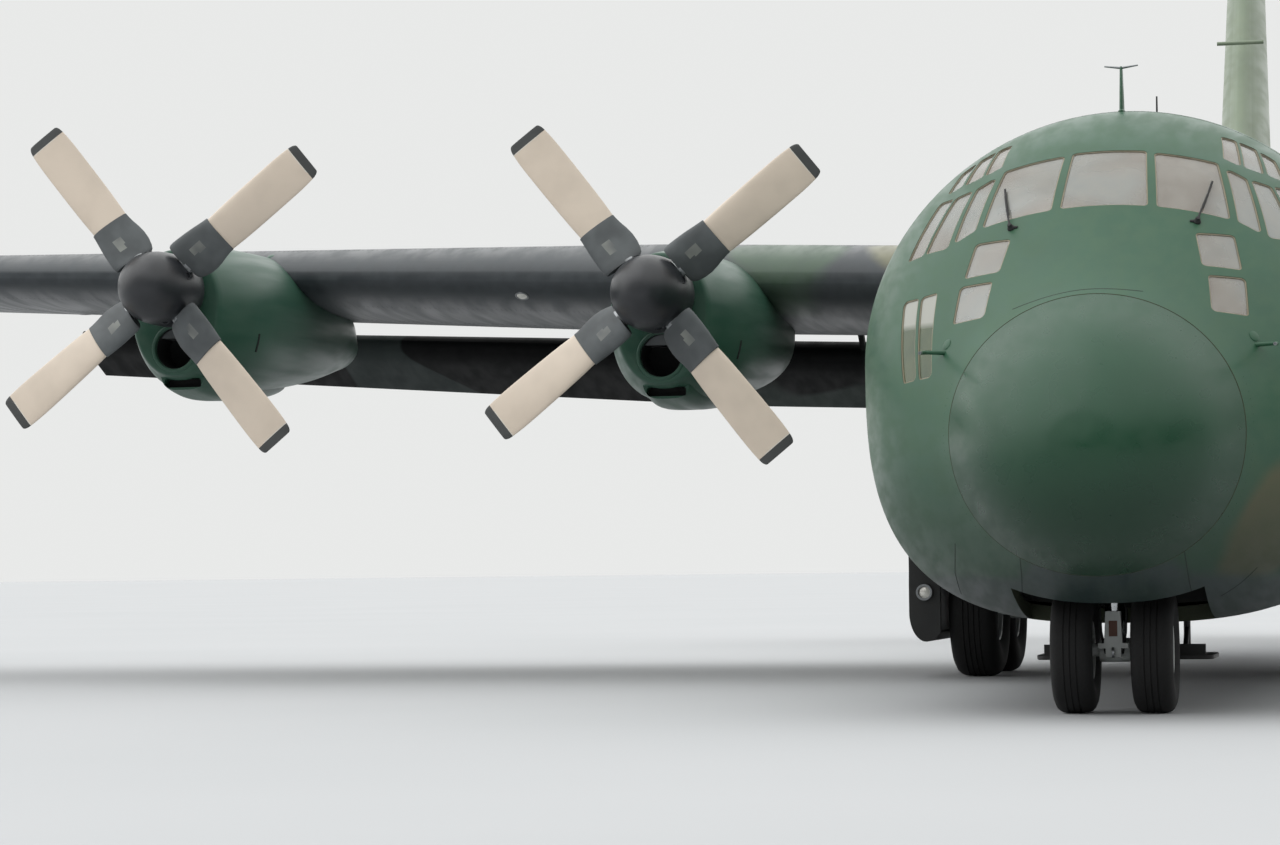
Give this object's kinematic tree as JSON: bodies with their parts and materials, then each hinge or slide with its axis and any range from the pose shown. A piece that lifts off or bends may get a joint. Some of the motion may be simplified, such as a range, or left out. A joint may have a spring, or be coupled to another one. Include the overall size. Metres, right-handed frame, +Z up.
{
  "type": "1:2 scale model of a four-turboprop military transport plane",
  "caption": "High-wing transport aircraft on its wheels, with turning propellers and wheels, steering nose gear, control surfaces, flaps, crew door, loading ramp and hollow hold.",
  "frame": {"origin": "on the floor below the middle of the aircraft's bounding box", "axes": "+Z up, -Y towards the nose, +X towards the left (port) wing tip"},
  "size_m": [20.205, 14.895, 5.83],
  "materials": {
    "camouflage_paint": "matt two-tone disruptive camouflage paint over riveted sheet, slightly weathered",
    "radome_paint": "matt grey-green rain-erosion coating over a moulded nose cone",
    "belly_paint": "matt blue-grey paint",
    "wing_paint": "matt dark grey paint with green and tan patches",
    "flap_paint": "matt charcoal paint, streaked by exhaust",
    "nacelle_paint": "matt green paint, sooted towards the rear",
    "blade_paint": "worn beige blade paint with dark tips and cuffs",
    "gear_paint": "satin light grey enamel",
    "cabin_paint": "matt grey interior paint",
    "engine_metal": "cast and machined metal",
    "tyre_rubber": "black tyre rubber with circumferential grooves",
    "window_glass": "clear laminated glazing",
    "steel_parts": "bare steel fittings and pipes",
    "black_rubber": "black seal, hose and de-icing boot rubber"
  },
  "bodies": {
    "airframe": {"radome": "radome_paint", "nose_shell": "camouflage_paint", "cargo_shell": "camouflage_paint", "tail_shell": "camouflage_paint", "flight_deck": "cabin_paint", "glazing": "window_glass", "nose_wheel_well": "cabin_paint", "cargo_floor": "cabin_paint", "para_door_left": "camouflage_paint", "para_door_right": "camouflage_paint", "wing_centre": "wing_paint", "wing_left": "wing_paint", "wing_right": "wing_paint", "nacelle_1": "nacelle_paint", "engine_1": "engine_metal", "nacelle_2": "nacelle_paint", "engine_2": "engine_metal", "nacelle_3": "nacelle_paint", "engine_3": "engine_metal", "nacelle_4": "nacelle_paint", "engine_4": "engine_metal", "tailplane": "wing_paint", "fin": "camouflage_paint", "sponson_left": "camouflage_paint", "sponson_right": "camouflage_paint", "main_gear_door_left": "nacelle_paint", "main_gear_door_right": "nacelle_paint", "main_leg_left": "gear_paint", "main_leg_right": "gear_paint", "nose_leg": "gear_paint", "nose_gear_door": "belly_paint"},
    "propeller_1": {"propeller_1": "blade_paint"},
    "propeller_2": {"propeller_2": "blade_paint"},
    "propeller_3": {"propeller_3": "blade_paint"},
    "propeller_4": {"propeller_4": "blade_paint"},
    "main_wheel_front_left": {"main_hub_front_left": "gear_paint", "main_tyre_front_left": "tyre_rubber"},
    "main_wheel_rear_left": {"main_hub_rear_left": "gear_paint", "main_tyre_rear_left": "tyre_rubber"},
    "main_wheel_front_right": {"main_hub_front_right": "gear_paint", "main_tyre_front_right": "tyre_rubber"},
    "main_wheel_rear_right": {"main_hub_rear_right": "gear_paint", "main_tyre_rear_right": "tyre_rubber"},
    "nose_fork": {"nose_fork": "gear_paint"},
    "nose_wheels": {"nose_wheels": "gear_paint", "nose_tyre_left": "tyre_rubber", "nose_tyre_right": "tyre_rubber"},
    "crew_door": {"crew_door": "camouflage_paint"},
    "ramp": {"ramp": "belly_paint"},
    "cargo_door": {"cargo_door": "belly_paint"},
    "flap_inboard_left": {"flap_inboard_left": "flap_paint"},
    "flap_inboard_right": {"flap_inboard_right": "flap_paint"},
    "flap_outboard_left": {"flap_outboard_left": "flap_paint"},
    "flap_outboard_right": {"flap_outboard_right": "flap_paint"},
    "aileron_left": {"aileron_left": "wing_paint"},
    "aileron_right": {"aileron_right": "wing_paint"},
    "elevator_left": {"elevator_left": "wing_paint"},
    "elevator_right": {"elevator_right": "wing_paint"},
    "rudder": {"rudder": "camouflage_paint"}
  },
  "joints": [
    {"name": "propeller_1_spin", "type": "hinge", "parent": "airframe", "child": "propeller_1", "pos_m": [5.095, -3.6375, 2.055], "axis": [0, 1, 0], "continuous": true},
    {"name": "propeller_2_spin", "type": "hinge", "parent": "airframe", "child": "propeller_2", "pos_m": [2.485, -3.7025, 1.945], "axis": [0, 1, 0], "continuous": true},
    {"name": "propeller_3_spin", "type": "hinge", "parent": "airframe", "child": "propeller_3", "pos_m": [-2.485, -3.7025, 1.945], "axis": [0, 1, 0], "continuous": true},
    {"name": "propeller_4_spin", "type": "hinge", "parent": "airframe", "child": "propeller_4", "pos_m": [-5.095, -3.6375, 2.055], "axis": [0, 1, 0], "continuous": true},
    {"name": "main_wheel_front_left_spin", "type": "hinge", "parent": "airframe", "child": "main_wheel_front_left", "pos_m": [1.11, -1.9725, 0.355], "axis": [1, 0, 0], "continuous": true},
    {"name": "main_wheel_rear_left_spin", "type": "hinge", "parent": "airframe", "child": "main_wheel_rear_left", "pos_m": [1.11, -1.1975, 0.355], "axis": [1, 0, 0], "continuous": true},
    {"name": "main_wheel_front_right_spin", "type": "hinge", "parent": "airframe", "child": "main_wheel_front_right", "pos_m": [-1.11, -1.9725, 0.355], "axis": [1, 0, 0], "continuous": true},
    {"name": "main_wheel_rear_right_spin", "type": "hinge", "parent": "airframe", "child": "main_wheel_rear_right", "pos_m": [-1.11, -1.1975, 0.355], "axis": [1, 0, 0], "continuous": true},
    {"name": "nose_steering", "type": "hinge", "parent": "airframe", "child": "nose_fork", "pos_m": [0, -6.3225, 0.4], "axis": [0, 0, 1], "range_deg": [-60, 60]},
    {"name": "nose_wheels_spin", "type": "hinge", "parent": "nose_fork", "child": "nose_wheels", "pos_m": [0, -6.3225, 0.2475], "axis": [1, 0, 0], "continuous": true},
    {"name": "crew_door_hinge", "type": "hinge", "parent": "airframe", "child": "crew_door", "pos_m": [0.762, -5.8675, 0.472], "axis": [0, 1, 0], "range_deg": [0, 95]},
    {"name": "ramp_hinge", "type": "hinge", "parent": "airframe", "child": "ramp", "pos_m": [0, 0.7595, 0.332], "axis": [-1, 0, 0], "range_deg": [0, 25]},
    {"name": "cargo_door_hinge", "type": "hinge", "parent": "airframe", "child": "cargo_door", "pos_m": [0, 4.0055, 1.525], "axis": [-1, 0, 0], "range_deg": [0, 35]},
    {"name": "flap_inboard_left_track", "type": "hinge", "parent": "airframe", "child": "flap_inboard_left", "pos_m": [1.225, -0.88038, 1.37852], "axis": [0.9993, 0, 0.0384], "range_deg": [-8, 28]},
    {"name": "flap_inboard_right_track", "type": "hinge", "parent": "airframe", "child": "flap_inboard_right", "pos_m": [-2.75, -0.88038, 1.43711], "axis": [0.9993, 0, -0.0384], "range_deg": [-8, 28]},
    {"name": "flap_outboard_left_track", "type": "hinge", "parent": "airframe", "child": "flap_outboard_left", "pos_m": [2.845, -0.88447, 1.44097], "axis": [0.9958, -0.0814, 0.0425], "range_deg": [-8, 28]},
    {"name": "flap_outboard_right_track", "type": "hinge", "parent": "airframe", "child": "flap_outboard_right", "pos_m": [-6.74, -1.20273, 1.60721], "axis": [0.9958, 0.0814, -0.0425], "range_deg": [-8, 28]},
    {"name": "aileron_left_hinge", "type": "hinge", "parent": "airframe", "child": "aileron_left", "pos_m": [6.82, -0.95619, 2.23888], "axis": [0.9952, -0.0878, 0.0431], "range_deg": [-15, 25]},
    {"name": "aileron_right_hinge", "type": "hinge", "parent": "airframe", "child": "aileron_right", "pos_m": [-6.82, -0.95619, 2.23888], "axis": [-0.9952, -0.0878, 0.0431], "range_deg": [-25, 15]},
    {"name": "elevator_left_hinge", "type": "hinge", "parent": "airframe", "child": "elevator_left", "pos_m": [0.575, 6.2563, 2.3], "axis": [0.9992, 0.0387, 0], "range_deg": [-15, 40]},
    {"name": "elevator_right_hinge", "type": "hinge", "parent": "airframe", "child": "elevator_right", "pos_m": [-3.95, 6.38718, 2.3], "axis": [0.9992, -0.0387, 0], "range_deg": [-15, 40]},
    {"name": "rudder_hinge", "type": "hinge", "parent": "airframe", "child": "rudder", "pos_m": [0, 5.9675, 2.4925], "axis": [0, 0.0411, 0.9992], "range_deg": [-35, 35]}
  ]
}
